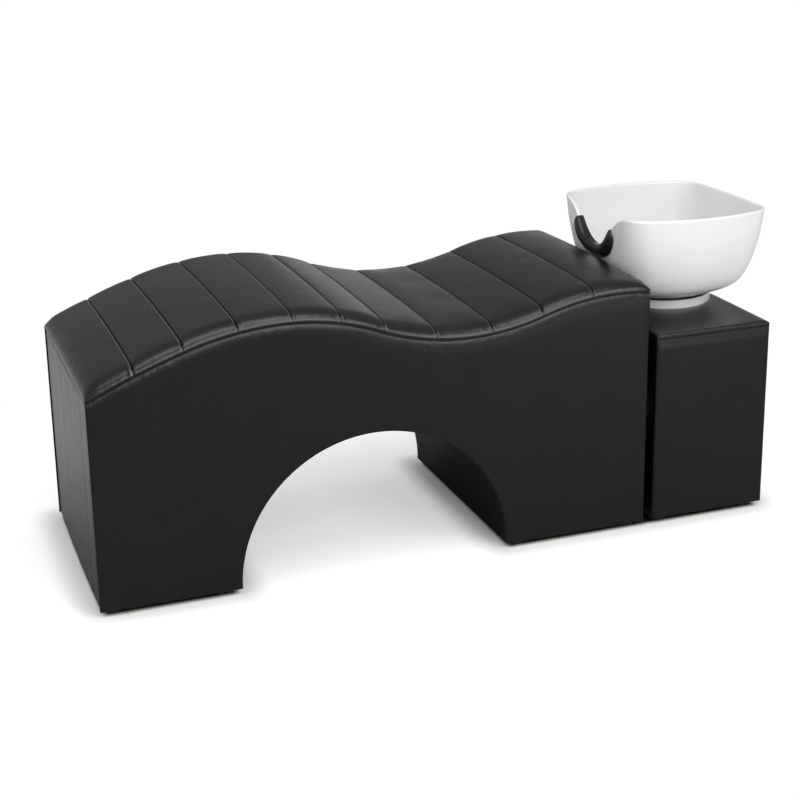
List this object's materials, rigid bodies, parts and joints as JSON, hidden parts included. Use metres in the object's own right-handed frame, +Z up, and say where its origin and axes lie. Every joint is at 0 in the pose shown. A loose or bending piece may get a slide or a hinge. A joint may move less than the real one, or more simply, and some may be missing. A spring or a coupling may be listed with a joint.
{
  "type": "hair washing bed",
  "caption": "Wave-shaped black upholstered lounger over an arch, joined to a pedestal with a tilting white ceramic shampoo basin, neck rest and waste.",
  "frame": {"origin": "on the floor, under the middle of the overall length and width", "axes": "+X along the lounger from the foot end to the basin, +Z up, -Y the near long side"},
  "size_m": [1.856, 0.65, 0.795],
  "materials": {
    "black_leatherette": "smooth black synthetic leather over thin foam",
    "plywood": "raw birch plywood",
    "foam": "open-cell upholstery foam",
    "black_glide": "moulded black plastic",
    "zinc_steel": "zinc-plated steel",
    "catch_plastic": "moulded brown plastic",
    "white_ceramic": null,
    "white_ring": "white gloss moulding",
    "neck_rest_rubber": "glossy soft black rubber",
    "waste_chrome": "polished chrome",
    "seal_rubber": "black rubber",
    "pipe_plastic": "white moulded plastic"
  },
  "bodies": {
    "root": {"seat_quilted_cover": "black_leatherette", "seat_foam": "foam", "deck_board": "plywood", "near_side_panel": "plywood", "far_side_panel": "plywood", "foot_end_board": "plywood", "head_end_board": "plywood", "foot_leg_base": "plywood", "head_leg_base": "plywood", "deck_battens": "plywood", "corner_posts": "plywood", "arch_lining_board": "plywood", "near_side_cover": "black_leatherette", "far_side_cover": "black_leatherette", "foot_end_cover": "black_leatherette", "head_end_cover": "black_leatherette", "arch_cover": "black_leatherette", "bed_glides": "black_glide", "pedestal_near_panel": "plywood", "pedestal_far_panel": "plywood", "pedestal_front_board": "plywood", "pedestal_base_board": "plywood", "pedestal_top_board": "plywood", "pedestal_near_cover": "black_leatherette", "pedestal_far_cover": "black_leatherette", "pedestal_front_cover": "black_leatherette", "pedestal_top_pad": "black_leatherette", "pedestal_glides": "black_glide", "magnetic_catches": "catch_plastic", "basin_ring_seat": "white_ring", "basin_seat_gasket": "seal_rubber", "tilt_slot_plate": "zinc_steel", "link_spacer_rail": "plywood", "link_bolts": "zinc_steel", "link_nuts": "zinc_steel"},
    "basin": {"basin_bowl": "white_ceramic", "waste_body": "waste_chrome", "waste_nuts": "pipe_plastic", "retaining_plate": "zinc_steel"},
    "neck_rest": {"neck_rest": "neck_rest_rubber"},
    "strainer": {"hair_strainer": "waste_chrome"},
    "access_panel": {"access_panel_board": "plywood", "access_panel_cover": "black_leatherette", "access_panel_strike_plates": "zinc_steel"}
  },
  "joints": [
    {"name": "basin_tilt", "type": "hinge", "parent": "root", "child": "basin", "pos_m": [0.715, 0, 0.871], "axis": [0, 1, 0], "range_deg": [-6, 1]},
    {"name": "neck_rest_pull", "type": "slide", "parent": "basin", "child": "neck_rest", "axis": [-0.12, 0, 0.9928], "range_m": [0, 0.08]},
    {"name": "strainer_lift", "type": "slide", "parent": "basin", "child": "strainer", "axis": [0, 0, 1], "range_m": [0, 0.06]},
    {"name": "access_panel_pull", "type": "slide", "parent": "root", "child": "access_panel", "axis": [1, 0, 0], "range_m": [0, 0.12]}
  ]
}
